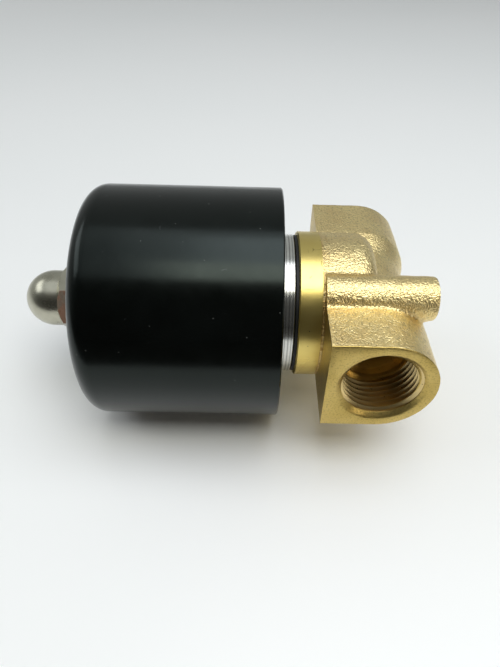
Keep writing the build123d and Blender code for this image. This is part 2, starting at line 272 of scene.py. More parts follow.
# %% [markdown]
# ## Light
#
# The light comes from above through soft panels, as under a skylight with a curtain. Bright panels
# hang a little below a wider and weaker one, so that polished things show a bright stripe with a
# dimmer border along the top of the can, the ring and the collar. A panel far to the left lights
# the nut and the closed end of the can. The room is pale behind and on the left, and dark in front
# and on the right. The world gives both, as one gradient, and its dark side is what the lower edge
# of each stripe ends against.

# %% Lamps and room


def panel(name, x_range, y_range, height, radiance, tint):
    """A soft panel that looks straight down. Sizes are in millimetres, its light is a radiance."""
    data = bpy.data.lights.new(name, "AREA")
    data.shape = "RECTANGLE"
    data.size = (x_range[1] - x_range[0]) * MM
    data.size_y = (y_range[1] - y_range[0]) * MM
    data.energy = radiance * math.pi * data.size * data.size_y
    data.color = colour(tint)[:3]
    lamp = bpy.data.objects.new(name, data)
    lamp.location = Vector((sum(x_range) / 2, sum(y_range) / 2, height)) * MM
    bpy.context.scene.collection.objects.link(lamp)
    return lamp


wide_height = 720
bright_height = 700
panel("wide_panel", (-180, 860), (-430, 220), wide_height, 1.45, "#F4F8FF")
panel("left_panel", (-520, -180), (-430, 240), wide_height, 0.5, "#F2F8FF")
panel("far_left_panel", (-1300, -600), (-300, 500), wide_height, 1.9, "#F6FAFF")
panel("bright_front_panel", (-120, 430), (-425, -190), bright_height, 3.2, "#FFFEF0")
panel("bright_rear_panel", (-70, 430), (-190, 125), bright_height, 2.1, "#F2F6FF")

# A small lamp in front and to the right shines into the port, so that its thread can be seen.
lamp_place = Vector((330, -330, 150)) * MM
port_lamp = panel("port_lamp", (-50, 50), (-50, 50), 0, 0.45, "#FFF4E2")
port_lamp.data.spread = math.radians(50)
facing = (Vector((port_axis_x, -port_face_y, stem_height)) - lamp_place).to_track_quat("-Z", "Y")
port_lamp.matrix_world = Matrix.Translation(lamp_place) @ facing.to_matrix().to_4x4()

pale_side = (-0.35, 0.94, 0)  # behind and a little to the left
dark_until = -0.35
pale_from = 0.5
world = bpy.data.worlds.new("pale_room")
bpy.context.scene.world = world
world.use_nodes = True
tree = world.node_tree
tree.nodes.clear()
direction = add_node(tree, "TexCoord").outputs["Generated"]
towards = add_node(tree, "VectorMath", {0: direction, 1: pale_side}, operation="DOT_PRODUCT")
depth = fade_in(tree, towards.outputs["Value"], dark_until, pale_from)
tones = [(0.0, colour("#424241")), (0.45, colour("#606462")), (1.0, colour("#A6A9A8"))]
room_light = add_node(tree, "Background", {"Strength": 1.0, "Color": ramp(tree, depth, tones)})
add_node(tree, "OutputWorld", {"Surface": room_light.outputs[0]})

# %% [markdown]
# ## Helpers for shapes
#
# The casting is built as a foundry and a machine shop would build it. First a rough blank is put
# together from plain solids and its corners are softened. Then it is cut: every cut is a closed
# cutter that a Boolean takes away. These helpers make cylinders, turned solids and cuts.

# %% Shape helpers


def add_cylinder(bm, radius, start, end, segments=96):
    """A capped cylinder between two points, added to bm. Returns its vertices."""
    start, end = Vector(start), Vector(end)
    along = end - start
    turn = along.to_track_quat("Z", "Y").to_matrix().to_4x4()
    made = bmesh.ops.create_cone(
        bm,
        cap_ends=True,
        segments=segments,
        radius1=radius,
        radius2=radius,
        depth=along.length,
        matrix=Matrix.Translation((start + end) / 2) @ turn,
    )
    return made["verts"]


def turned(profile, steps=128):
    """A bmesh turned around the stem axis from (x, radius) points that start and end on it."""
    bm = bmesh.new()
    points = [bm.verts.new((x, 0, radius)) for x, radius in profile]
    edges = [bm.edges.new(pair) for pair in zip(points, points[1:])]
    bmesh.ops.spin(
        bm,
        geom=points + edges,
        cent=(0, 0, 0),
        axis=(1, 0, 0),
        angle=math.tau,
        steps=steps,
        use_merge=True,
    )
    bmesh.ops.remove_doubles(bm, verts=bm.verts, dist=TOUCH / 10)
    bmesh.ops.translate(bm, verts=bm.verts, vec=(0, 0, stem_height))
    bmesh.ops.recalc_face_normals(bm, faces=bm.faces)
    return bm


def as_object(name, bm):
    """Put a bmesh in a new object in the scene."""
    mesh = bpy.data.meshes.new(name)
    bm.to_mesh(mesh)
    bm.free()
    made = bpy.data.objects.new(name, mesh)
    bpy.context.scene.collection.objects.link(made)
    return made


def bake_modifiers(piece):
    """Swap the piece's mesh for the one that its modifiers give."""
    graph = bpy.context.evaluated_depsgraph_get()
    baked = bpy.data.meshes.new_from_object(piece.evaluated_get(graph))
    old = piece.data
    piece.modifiers.clear()
    piece.data = baked
    bpy.data.meshes.remove(old)


def boolean(piece, cutter_bm, operation="DIFFERENCE"):
    """Cut a closed bmesh out of the piece, or join it to the piece."""
    cutter = as_object("cutter", cutter_bm)
    change = piece.modifiers.new("boolean", "BOOLEAN")
    change.operation = operation
    change.solver = "MANIFOLD"
    change.object = cutter
    bake_modifiers(piece)
    cutter_mesh = cutter.data
    bpy.data.objects.remove(cutter)
    bpy.data.meshes.remove(cutter_mesh)


def mark_sharp(piece, degrees=32):
    """Smooth shading, with an edge sharp where its two faces meet at more than this angle."""
    bm = bmesh.new()
    bm.from_mesh(piece.data)
    limit = math.radians(degrees)
    for face in bm.faces:
        face.smooth = True
    for edge in bm.edges:
        edge.smooth = edge.calc_face_angle(0) < limit
    bm.to_mesh(piece.data)
    bm.free()


print("helpers for shapes:", [f.__name__ for f in (add_cylinder, turned, boolean, mark_sharp)])

# %% [markdown]
# ## Casting, step 1: the blank
#
# The casting is a round barrel around the stem, a cross bar that holds the two ports, and two
# mounting bosses that run along the barrel. Each is a plain solid here, and they overlap. The ends
# that the shop will cut are made longer, as a foundry makes them.

# %% The blank's solids
bar_radius = 11.1 * MM
bar_flat_depth = 11.0 * MM
neck_radius = 9.6 * MM
neck_half_length = 7.5 * MM
neck_slope = 5.5 * MM
boss_half_width = 4.55 * MM
boss_end_edge = 0.6 * MM
barrel_end_edge = 3.8 * MM
turning_step = 0.1 * MM  # the cast barrel is this much smaller than the turned collar
barrel_past_port = 0.4 * MM
machining_stock = 2 * MM  # length that is cast over size and then cut off
boss_stock = 0.5 * MM  # the same on the boss ends, which only get a light cut

barrel_radius = (body_high.z - body_low.z) / 2
shoulder_x = port_axis_x - bar_flat_depth
barrel_end_x = port_axis_x + barrel_past_port
boss_end_x = body_high.x + boss_stock
boss_radius = mounts["mounting_holes"]["dims"]["pcd_mm"] * MM / 2
boss_angle = math.radians(45)  # from the front port up, around the stem
boss_places = []
for side in (1, -1):
    boss_y = -side * boss_radius * math.cos(boss_angle)
    boss_z = stem_height + side * boss_radius * math.sin(boss_angle)
    boss_places.append((boss_y, boss_z))


def new_verts(made):
    return [item for item in made["geom"] if isinstance(item, bmesh.types.BMVert)]


def round_end(bm, verts, x, width, segments):
    """Bevel the edges of these vertices that lie in the plane at x."""
    edges = dict.fromkeys(edge for vert in verts for edge in vert.link_edges)
    rim = [edge for edge in edges if all(abs(end.co.x - x) < TOUCH for end in edge.verts)]
    bmesh.ops.bevel(
        bm, geom=rim, offset=width, segments=segments, profile=0.5, affect="EDGES", material=-1
    )


# The bar starts as a disc at one port. Half of it is stretched to the flat side, and then the disc
# is pushed along in steps, and made smaller over the neck.
blank_bm = bmesh.new()
stocked = port_face_y + machining_stock
to_port_end = Matrix.Translation((port_axis_x, -stocked, stem_height))
to_port_end = to_port_end @ Matrix.Rotation(math.pi / 2, 4, "X")
bmesh.ops.create_circle(blank_bm, cap_ends=True, segments=96, radius=bar_radius, matrix=to_port_end)
for vert in blank_bm.verts:
    if vert.co.x < port_axis_x - TOUCH:
        vert.co.x = shoulder_x - machining_stock
        vert.co.z = stem_height + math.copysign(bar_radius, vert.co.z - stem_height)
bmesh.ops.remove_doubles(blank_bm, verts=blank_bm.verts, dist=TOUCH)
slope_end = neck_half_length + neck_slope
stations = [
    (-slope_end, bar_radius),
    (-neck_half_length, neck_radius),
    (neck_half_length, neck_radius),
    (slope_end, bar_radius),
    (stocked, bar_radius),
]
end_face = blank_bm.faces[:]
last_radius = bar_radius
for y, radius in stations:
    pushed = bmesh.ops.extrude_face_region(blank_bm, geom=end_face)
    if y > -slope_end:
        bmesh.ops.delete(blank_bm, geom=end_face, context="FACES_ONLY")
    moved = new_verts(pushed)
    for vert in moved:
        vert.co.y = y
        vert.co.z = stem_height + (vert.co.z - stem_height) * radius / last_radius
        if vert.co.x > port_axis_x:
            vert.co.x = port_axis_x + (vert.co.x - port_axis_x) * radius / last_radius
    last_radius = radius
    end_face = [item for item in pushed["geom"] if isinstance(item, bmesh.types.BMFace)]

barrel = add_cylinder(
    blank_bm,
    barrel_radius - turning_step,
    (shoulder_x - machining_stock, 0, stem_height),
    (barrel_end_x, 0, stem_height),
)
round_end(blank_bm, barrel, barrel_end_x, barrel_end_edge, segments=8)
for boss_y, boss_z in boss_places:
    boss_start = (shoulder_x - machining_stock, boss_y, boss_z)
    boss_end = (boss_end_x, boss_y, boss_z)
    boss = add_cylinder(blank_bm, boss_half_width, boss_start, boss_end, segments=48)
    round_end(blank_bm, boss, boss_end_x, boss_end_edge, segments=3)
rib_length = boss_end_x - shoulder_x + machining_stock
rib_size = Matrix.Diagonal((rib_length, 2 * boss_radius, 2 * boss_half_width, 1))
rib_turn = Matrix.Rotation(-boss_angle, 4, "X")
rib_place = Matrix.Translation((boss_end_x - rib_length / 2, 0, stem_height))
rib = bmesh.ops.create_cube(blank_bm, size=1, matrix=rib_place @ rib_turn @ rib_size)["verts"]
round_end(blank_bm, rib, boss_end_x, boss_end_edge, segments=3)
bmesh.ops.recalc_face_normals(blank_bm, faces=blank_bm.faces)
casting = as_object("brass_casting", blank_bm)
print("blank solids:", len(casting.data.polygons), "faces")

# %% [markdown]
# In a foundry all of them come out of one mould, and where they meet the pattern maker leaves a
# soft hollow corner. Beveling such a corner edge by edge is slow where curved shapes meet. A voxel
# remesh is simpler: it melts the overlapping solids into one skin of small even faces, and a smooth
# pass then softens each corner, inside and outside alike. Last, a cloud pattern moves the skin a
# little in and out, because no mould is quite even.

# %% Melt them into one skin
voxel = 0.33 * MM
corner_passes = 6
waviness = 0.16 * MM
wave_size = 2.4 * MM

melt = casting.modifiers.new("melt", "REMESH")
melt.mode = "VOXEL"
melt.voxel_size = voxel
soften = casting.modifiers.new("soften", "SMOOTH")
soften.factor = 0.5
soften.iterations = corner_passes
uneven = bpy.data.textures.new("uneven_mould", "CLOUDS")
uneven.noise_scale = wave_size
wave = casting.modifiers.new("wave", "DISPLACE")
wave.texture = uneven
wave.texture_coords = "LOCAL"
wave.strength = waviness
wave.mid_level = 0.5
bake_modifiers(casting)
print("one skin of", len(casting.data.polygons), "faces")

# %% [markdown]
# ## Casting, step 2: the machine shop
#
# A casting comes in over size. The shop faces the two port ends, the shoulder and the boss ends.
# Here a plane cuts the skin open, and one flat face closes it. The port ends get a rounded edge,
# because the valve was tumbled after it was cut.

# %% Face the ends and the shoulder


def face_off(bm, point, outward):
    """Cut away what lies past a plane, and close the cut with one flat face, which is returned."""
    bmesh.ops.bisect_plane(
        bm,
        geom=bm.verts[:] + bm.edges[:] + bm.faces[:],
        plane_co=point,
        plane_no=outward,
        clear_outer=True,
    )
    made = bmesh.ops.contextual_create(bm, geom=[e for e in bm.edges if e.is_boundary])
    return made["faces"][0]


def break_edge(bm, cap, steps):
    """Round the edge of a flat cut with rings of faces: each step goes in and up by that much."""
    for inwards, up in steps:
        bmesh.ops.inset_region(bm, faces=[cap], thickness=inwards, depth=up, use_even_offset=False)


# The port faces are cut a little short, and the rings that round their edges make up the rest.
edge_steps = [(0.03 * MM, 0.10 * MM), (0.07 * MM, 0.07 * MM), (0.10 * MM, 0.03 * MM)]
edge_rise = sum(up for inwards, up in edge_steps)
cast_bm = bmesh.new()
cast_bm.from_mesh(casting.data)
for side in (-1, 1):
    cap = face_off(cast_bm, (0, side * (port_face_y - edge_rise), 0), (0, side, 0))
    break_edge(cast_bm, cap, edge_steps)
face_off(cast_bm, (shoulder_x, 0, 0), (-1, 0, 0))
face_off(cast_bm, (body_high.x, 0, 0), (1, 0, 0))
cast_bm.to_mesh(casting.data)
cast_bm.free()
print("faced:", [round(c / MM, 2) for c in casting.dimensions])

# %% [markdown]
# The collar is turned next, and the chamber behind it is bored, with a raised seat around the
# valve's orifice. The skin from the remesh is too coarse to be cut to a true round collar, so the
# collar is a turned solid that is joined on, and the chamber is a turned cutter.

# %% Turn the collar and bore the chamber
collar_edge = 0.25 * MM
collar_overlap = 0.6 * MM
collar_end_gap = 0.45 * MM  # the tool stops this far before the shoulder
collar_play = 0.02 * MM  # keeps the collar inside the CAD's
spigot_bore = 13.05 * MM
spigot_depth = 4.2 * MM
chamber_radius = 10.5 * MM
chamber_depth = 9.65 * MM
seat_radius = 4.5 * MM
seat_height = 2.5 * MM
orifice_radius = 2.5 * MM
orifice_end_x = port_axis_x + 1.6 * MM

collar_x = body_low.x
turned_radius = barrel_radius - collar_play
collar = turned([
    (collar_x, 0),
    (collar_x, turned_radius - collar_edge),
    (collar_x + collar_edge, turned_radius),
    (shoulder_x - collar_end_gap, turned_radius),
    (shoulder_x - collar_end_gap, barrel_radius - turning_step),
    (shoulder_x + collar_overlap, barrel_radius - turning_step),
    (shoulder_x + collar_overlap, 0),
], steps=192)
boolean(casting, collar, "UNION")

floor_x = collar_x + chamber_depth
chamber = turned([
    (collar_x - machining_stock, 0),
    (collar_x - machining_stock, spigot_bore),
    (collar_x + spigot_depth, spigot_bore),
    (collar_x + spigot_depth, chamber_radius),
    (floor_x, chamber_radius),
    (floor_x, seat_radius),
    (floor_x - seat_height, seat_radius),
    (floor_x - seat_height, orifice_radius),
    (orifice_end_x, orifice_radius),
    (orifice_end_x, 0),
])
boolean(casting, chamber)
print("collar and chamber done:", len(casting.data.polygons), "faces")

# %% [markdown]
# ## Casting, step 3: the ports
#
# Each port has a G3/8 pipe thread: 19 turns to the inch, with flanks at 55 degrees. A tap cuts it
# as one groove that climbs like a spiral stair. `spin` can do the same: given a step along the axis
# as well as an angle, it winds one tooth of the profile up the bore. Where each turn meets the
# next, the points fall together and merge, so the result is one threaded rod. It is trimmed at
# both ends, capped and used as the cutter. A groove at its end gives the tap room to run out, and
# two cones open the mouth.

# %% Tap the ports
thread_pitch = 1.337 * MM
minor_radius = mounts["inlet_port"]["dims"]["r_mm"] * MM
major_radius = 8.331 * MM
thread_depth_in = 9.6 * MM
port_depth = 13 * MM
mouth_radius = 9.05 * MM
relief_radius = 8.5 * MM
relief_width = 1.5 * MM
mouth_depth = 1.8 * MM
chamfer_slope = 1.0
edge_ring_width = 0.18 * MM
edge_ring_slope = 0.45
bore_play = 0.01 * MM  # keeps the plain bore's wall off the thread's
bore_overlap = 0.5 * MM
thread_angle = 55  # degrees between its flanks
thread_steps = 96


def thread_rod():
    """The threaded cutter, along +Z, with the port's face at z = 0."""
    flank = (major_radius - minor_radius) * math.tan(math.radians(thread_angle / 2))
    flat = thread_pitch / 2 - flank
    tooth = [
        (minor_radius, 0),
        (minor_radius, flat / 2),
        (major_radius, flat / 2 + flank),
        (major_radius, flat * 1.5 + flank),
        (minor_radius, flat * 1.5 + 2 * flank),
        (minor_radius, thread_pitch),
    ]
    bm = bmesh.new()
    start = -thread_depth_in - thread_pitch
    points = [bm.verts.new((radius, 0, start + up)) for radius, up in tooth]
    edges = [bm.edges.new(pair) for pair in zip(points, points[1:])]
    turns = math.ceil((thread_depth_in + 2 * thread_pitch) / thread_pitch) + 1
    bmesh.ops.spin(
        bm,
        geom=points + edges,
        cent=(0, 0, 0),
        axis=(0, 0, 1),
        dvec=(0, 0, thread_pitch / thread_steps),
        angle=math.tau * turns,
        steps=thread_steps * turns,
    )
    bmesh.ops.remove_doubles(bm, verts=bm.verts, dist=TOUCH)
    face_off(bm, (0, 0, -thread_depth_in), (0, 0, -1))
    face_off(bm, (0, 0, thread_pitch), (0, 0, 1))
    bmesh.ops.recalc_face_normals(bm, faces=bm.faces)
    return bm


def port_bore():
    """The plain bore below the thread, along +Z, with the port's face at z = 0."""
    bm = bmesh.new()
    end = (0, 0, -thread_depth_in + bore_overlap)
    add_cylinder(bm, minor_radius - bore_play, (0, 0, -port_depth), end)
    return bm


def relief_groove():
    """The groove where the tap runs out."""
    bm = bmesh.new()
    start = (0, 0, -thread_depth_in - relief_width)
    add_cylinder(bm, relief_radius, start, (0, 0, -thread_depth_in))
    return bm


def cone_cut(radius_at_face, slope):
    """A cone whose sides rise by slope, and which has this radius at the port's face."""
    down, up = mouth_depth, MM
    bm = bmesh.new()
    bmesh.ops.create_cone(
        bm,
        cap_ends=True,
        segments=128,
        radius1=radius_at_face - down / slope,
        radius2=radius_at_face + up / slope,
        depth=down + up,
        matrix=Matrix.Translation((0, 0, (up - down) / 2)),
    )
    return bm


def port_mouth():
    """The chamfer at the port's face."""
    return cone_cut(mouth_radius, chamfer_slope)


def mouth_edge():
    """The fine ring where the chamfer's sharp edge was taken off."""
    return cone_cut(mouth_radius + edge_ring_width, edge_ring_slope)


for side in (-1, 1):
    to_port = Matrix.Translation((port_axis_x, side * port_face_y, stem_height))
    to_port = to_port @ Matrix.Rotation(-side * math.pi / 2, 4, "X")
    for make_cutter in (port_bore, relief_groove, thread_rod, port_mouth, mouth_edge):
        cutter = make_cutter()
        bmesh.ops.transform(cutter, verts=cutter.verts, matrix=to_port)
        boolean(casting, cutter)
print("ports tapped:", len(casting.data.polygons), "faces")

# %% [markdown]
# The outlet leads from behind the seat straight to one port. The inlet comes from the other port
# to a point behind the chamber's floor, and a short hole leads from there into the chamber, beside
# the seat. The two mounting holes are blind.

# %% Drill the passages and the mounting holes
outlet_radius = 3.5 * MM
inlet_radius = 3.0 * MM
inlet_well_radius = 8.0 * MM
inlet_x = port_axis_x - 3.4 * MM
hole_radius = mounts["mounting_holes"]["dims"]["hole_r_mm"] * MM
hole_depth = 9 * MM
drill_overlap = 1.3 * MM
floor_overlap = 0.1 * MM
port_end_y = port_face_y - port_depth + drill_overlap

inlet_turn = (inlet_x, -inlet_well_radius, stem_height)
inlet_top = (floor_x - floor_overlap, -inlet_well_radius, stem_height)
drills = [
    (outlet_radius, (orifice_end_x, 0, stem_height), (orifice_end_x, port_end_y, stem_height)),
    (inlet_radius, inlet_turn, (inlet_x, -port_end_y, stem_height)),
    (inlet_radius, inlet_top, inlet_turn),
]
for boss_y, boss_z in boss_places:
    hole_start = (body_high.x - hole_depth, boss_y, boss_z)
    drills.append((hole_radius, hole_start, (body_high.x + MM, boss_y, boss_z)))
for radius, start, end in drills:
    drill = bmesh.new()
    add_cylinder(drill, radius, start, end, segments=48)
    boolean(casting, drill)
print("drilled:", [round(c / MM, 2) for c in casting.dimensions], "mm")

# %% [markdown]
# Where a cutter's edge passes close to a point of the casting, a Boolean leaves slivers and loose
# flakes with next to no area. They can shade wrongly and they spoil an export. So only the largest
# connected piece of skin stays, points a few thousandths of a millimetre apart are merged,
# collapsed faces and points that join only two edges are dissolved, and faces with many corners
# are cut into triangles.

# %% Clean up after the cuts
weld_distance = 0.002 * MM
collapsed_size = 0.004 * MM


def connected_skins(bm):
    """Lists of faces that hang together, the smallest list first."""
    seen, skins = set(), []
    for first in bm.faces:
        if first in seen:
            continue
        skin, waiting = [], [first]
        seen.add(first)
        while waiting:
            face = waiting.pop()
            skin.append(face)
            for near in {f for edge in face.edges for f in edge.link_faces} - seen:
                seen.add(near)
                waiting.append(near)
        skins.append(skin)
    return sorted(skins, key=len)


clean_bm = bmesh.new()
clean_bm.from_mesh(casting.data)
flakes = connected_skins(clean_bm)[:-1]
flake_faces = [face for flake in flakes for face in flake]
bmesh.ops.delete(clean_bm, geom=flake_faces, context="FACES")
bmesh.ops.remove_doubles(clean_bm, verts=clean_bm.verts, dist=weld_distance)
bmesh.ops.dissolve_degenerate(clean_bm, edges=clean_bm.edges, dist=collapsed_size)
between_two = [vert for vert in clean_bm.verts if len(vert.link_edges) == 2]
bmesh.ops.dissolve_verts(clean_bm, verts=between_two)
many_corners = [face for face in clean_bm.faces if len(face.verts) > 4]
bmesh.ops.triangulate(clean_bm, faces=many_corners)
unpaired = sum(1 for edge in clean_bm.edges if not edge.is_manifold)
clean_bm.to_mesh(casting.data)
clean_bm.free()
print("cleaned:", len(flakes), "flakes removed,", len(casting.data.polygons), "faces left")
print("edges that aren't shared by exactly two faces:", unpaired)

# %% [markdown]
# ## Materials
#
# Each material is named for the real stuff and for how it was made. Metals get their colour from
# the base colour, and their character from roughness and from a bump that has the real size of the
# marks: grains of casting sand are about half a millimetre, and the feed of a lathe tool is near
# 0.2 mm. Flecks, scratches and stains are small and few, as on a valve that was only handled.

# %% Patterns that several metals share


def sand_grain(tree, place, coarse_mm, fine_mm):
    """Coarse grains with finer ones on top, as a sand mould leaves, and the coarse ones alone."""
    fine_share = 0.3
    coarse = cloudy(tree, place, coarse_mm, detail=1)
    fine = cloudy(tree, place, fine_mm, detail=0)
    inputs = {0: fine, 1: fine_share, 2: coarse}
    return add_node(tree, "Math", inputs, operation="MULTIPLY_ADD").outputs[0], coarse


def turning_marks(tree, place, centre, axis, width_mm):
    """A pattern that is the same all round an axis, as the marks of a lathe tool are."""
    from_centre = add_node(tree, "VectorMath", {0: place, 1: centre}, operation="SUBTRACT")
    parts = add_node(tree, "SeparateXYZ", {0: from_centre.outputs[0]}).outputs
    across = [parts[name] for name in "XYZ" if name != axis]
    flat = add_node(tree, "CombineXYZ", {0: across[0], 1: across[1]})
    radius = add_node(tree, "VectorMath", {0: flat.outputs[0]}, operation="LENGTH")
    rings = add_node(tree, "CombineXYZ", {0: parts[axis], 1: radius.outputs["Value"]})
    return cloudy(tree, rings.outputs[0], width_mm, detail=3, roughness=0.7)


def flecks(tree, place, cell_mm, fleck_mm, share):
    """Small round flecks, white on black, in about this share of the cells."""
    cells = add_node(tree, "TexVoronoi", {"Vector": place, "Scale": per_metre(cell_mm)})
    size = fleck_mm / cell_mm
    near_middle = ramp(tree, cells.outputs["Distance"], [(size / 2, grey(1.0)), (size, grey(0.0))])
    chance = add_node(tree, "SeparateColor", {0: cells.outputs["Color"]}).outputs[0]
    return calc(tree, "MULTIPLY", near_middle, calc(tree, "LESS_THAN", chance, share))


def scratches(tree, place, cell_mm, width_mm, share):
    """Thin curved scratches, white on black: borders of big cells, shown where a noise is high.

    A higher share shows more of them. At 0 there are few, and below 0 hardly any.
    """
    swirl_size = 4 * MM
    shown_from = 0.66 - share
    inputs = {"Vector": place, "Scale": per_metre(cell_mm), "Detail": 2}
    swirl = add_node(tree, "TexNoise", inputs).outputs["Color"]
    inputs = {0: swirl, 1: (swirl_size, swirl_size, swirl_size), 2: place}
    bent = add_node(tree, "VectorMath", inputs, operation="MULTIPLY_ADD").outputs[0]
    inputs = {"Vector": bent, "Scale": per_metre(cell_mm)}
    cells = add_node(tree, "TexVoronoi", inputs, feature="DISTANCE_TO_EDGE")
    thin = width_mm / cell_mm
    line = ramp(tree, cells.outputs["Distance"], [(thin / 2, grey(1.0)), (thin, grey(0.0))])
    where = cloudy(tree, place, cell_mm / 2, 2)
    shown = ramp(tree, where, [(shown_from, grey(0.0)), (shown_from + 0.06, grey(1.0))])
    return calc(tree, "MULTIPLY", line, shown)


def over(tree, under, mask, hex_value, strength=1.0):
    """Lay a colour over another where the mask is white."""
    amount = calc(tree, "MULTIPLY", mask, strength)
    inputs = {0: amount, 6: under, 7: colour(hex_value)}
    return add_node(tree, "Mix", inputs, data_type="RGBA").outputs[2]


def darken(tree, under, tone):
    """Multiply a colour by another."""
    inputs = {0: 1.0, 6: under, 7: tone}
    return add_node(tree, "Mix", inputs, data_type="RGBA", blend_type="MULTIPLY").outputs[2]


stem_centre = (0, 0, stem_height)
port_centre = (port_axis_x, 0, stem_height)
print("turning marks run around", [round(c / MM, 1) for c in stem_centre], "mm along X")

# %% [markdown]
# Sand-cast brass that was tumbled clean: warm yellow, grainy, with soft blotches where the skin of
# the casting took the light or the dirt differently. Pits between the grains are darker. The hollow
# corners are darker too: painted shade, along with the dull skin that stays where the tumbling
# stones don't reach. The cut faces of the ports and the shoulder were tumbled too. They have no
# sand grain, so they get a much lower bump.

# %% Cast brass


def cast_brass_material(name, dark, light, grain_mm, height_mm, rough):
    """Grainy brass, between two tones, with dark pits and painted shade in the dull hollows."""
    material, tree, shader, place = new_material(name, Metallic=1.0)
    grain, coarse = sand_grain(tree, place, grain_mm, grain_mm / 2)
    blotch = cloudy(tree, place, 5)
    tone = two_tones(tree, blotch, dark, light)
    pits = ramp(tree, coarse, [(0.28, grey(0.7)), (0.5, grey(1.0))])
    bend = add_node(tree, "NewGeometry").outputs["Pointiness"]
    # Painted shade: where Pointiness is low, in hollow corners, the colour is multiplied by
    # #CDB68A, together with their dull skin.
    hollow_shade = ramp(tree, bend, [(0.42, colour("#CDB68A")), (0.49, grey(1.0))])
    aged_and_shaded = darken(tree, darken(tree, tone, pits), hollow_shade)
    tree.links.new(aged_and_shaded, shader.inputs["Base Color"])
    tree.links.new(span(tree, blotch, rough - 0.04, rough + 0.04), shader.inputs["Roughness"])
    add_bump(tree, shader, grain, height_mm)
    return material


cast_brass = cast_brass_material(
    "sand-cast brass, tumbled", "#F0D698", "#F9E4A6", grain_mm=0.47, height_mm=0.165, rough=0.36
)
face_brass = cast_brass_material(
    "faced brass, tumbled after", "#BEA45C", "#CDB46C", grain_mm=0.4, height_mm=0.05, rough=0.36
)
print("materials:", cast_brass.name, "and", face_brass.name)

# %% [markdown]
# The collar, the chamber and the ports keep the marks of the tool. These run in rings, so the
# pattern is made from the distance to the axis and along it, which gives the same value all round.

# %% Turned brass


def turned_brass_material(name, dark, light, centre, axis, mark_mm, height_mm, rough):
    """Smooth brass with marks around an axis, and a few stains and scratches."""
    material, tree, shader, place = new_material(name, Metallic=1.0)
    marks = turning_marks(tree, place, centre, axis, mark_mm)
    stain = cloudy(tree, place, 6)
    tone = two_tones(tree, stain, dark, light)
    specks = flecks(tree, place, cell_mm=1.1, fleck_mm=0.16, share=0.25)
    lines = scratches(tree, place, cell_mm=5, width_mm=0.06, share=0.08)
    worn = over(tree, over(tree, tone, specks, "#5A4820", 0.8), lines, "#6E5A28", 0.6)
    tree.links.new(worn, shader.inputs["Base Color"])
    tree.links.new(span(tree, stain, *rough), shader.inputs["Roughness"])
    add_bump(tree, shader, marks, height_mm)
    return material


collar_brass = turned_brass_material(
    "turned brass, fine feed",
    "#DFC672",
    "#E9D381",
    stem_centre,
    "X",
    mark_mm=0.18,
    height_mm=0.0025,
    rough=(0.24, 0.35),
)
thread_brass = turned_brass_material(
    "bored and tapped brass",
    "#D0B87E",
    "#DFC790",
    port_centre,
    "Y",
    mark_mm=0.2,
    height_mm=0.006,
    rough=(0.26, 0.38),
)
print("materials:", collar_brass.name, "and", thread_brass.name)

# %% [markdown]
# The casting is one piece of four finishes. Which one a face has follows from where it is: near the
# collar, on a cut plane, inside a port, or none of these, which leaves it as cast.

# %% Give each face of the casting its finish
casting.data.materials.clear()
for material in (cast_brass, collar_brass, face_brass, thread_brass):
    casting.data.materials.append(material)
CAST, COLLAR, FACE, THREAD = range(4)
near = 0.05 * MM
square_on = 0.99  # a face looks along an axis when this much of its normal does


def finish_of(face):
    """The finish of a face: as cast, turned around the stem, cut flat, or bored around a port."""
    centre = face.center
    from_stem = math.hypot(centre.y, centre.z - stem_height)
    from_port = math.hypot(centre.x - port_axis_x, centre.z - stem_height)
    if centre.x < shoulder_x - collar_end_gap + near:
        return COLLAR
    if from_stem < chamber_radius + near and centre.x < floor_x + near:
        return COLLAR
    if centre.x < shoulder_x + near and face.normal.x < -square_on:
        return FACE
    depth = port_face_y - abs(centre.y)
    on_chamfer = abs(from_port + depth - mouth_radius) < near and depth < mouth_depth
    around_mouth = depth < edge_rise + near and from_port > mouth_radius - near
    if on_chamfer or around_mouth:
        return FACE
    if depth < near and abs(face.normal.y) > square_on:
        return FACE
    if from_port < mouth_radius + near and depth < port_depth + near:
        return THREAD
    return CAST


for face in casting.data.polygons:
    face.material_index = finish_of(face)
mark_sharp(casting)
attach(casting, "valve")
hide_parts("valve_body")
indices = [face.material_index for face in casting.data.polygons]
print("faces cast, turned, faced and bored:", [indices.count(i) for i in range(4)])

# %% [markdown]
# ## Return spring
#
# A coil spring pushes the plunger onto its seat. When the magnet lifts the plunger, the spring gets
# shorter. The spring is wound again here: a ring of wire is spun around the stem axis, with a small
# step along it each time.

# %% Wind the return spring
spring_low, spring_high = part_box("plunger_spring")
wire_radius = 0.35 * MM
spring_turns = 6.5
steps_per_turn = 36
coil_radius = (spring_high.z - spring_low.z) / 2 - wire_radius
spring_rise = spring_high.x - spring_low.x - 2 * wire_radius

spring_bm = bmesh.new()
wire_place = Matrix.Translation((spring_low.x + wire_radius, 0, stem_height + coil_radius))
wire_place = wire_place @ Matrix.Rotation(math.pi / 2, 4, "X")
bmesh.ops.create_circle(spring_bm, segments=12, radius=wire_radius, matrix=wire_place)
spring_steps = round(spring_turns * steps_per_turn)
bmesh.ops.spin(
    spring_bm,
    geom=spring_bm.verts[:] + spring_bm.edges[:],
    cent=(0, 0, stem_height),
    axis=(1, 0, 0),
    dvec=(spring_rise / spring_steps, 0, 0),
    angle=math.tau * spring_turns,
    steps=spring_steps,
)
bmesh.ops.holes_fill(spring_bm, edges=[e for e in spring_bm.edges if e.is_boundary], sides=0)
bmesh.ops.recalc_face_normals(spring_bm, faces=spring_bm.faces)
for face in spring_bm.faces:
    face.smooth = len(face.verts) == 4
return_spring = as_object("return_spring", spring_bm)
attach(return_spring, "valve")
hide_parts("plunger_spring")
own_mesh(return_spring)

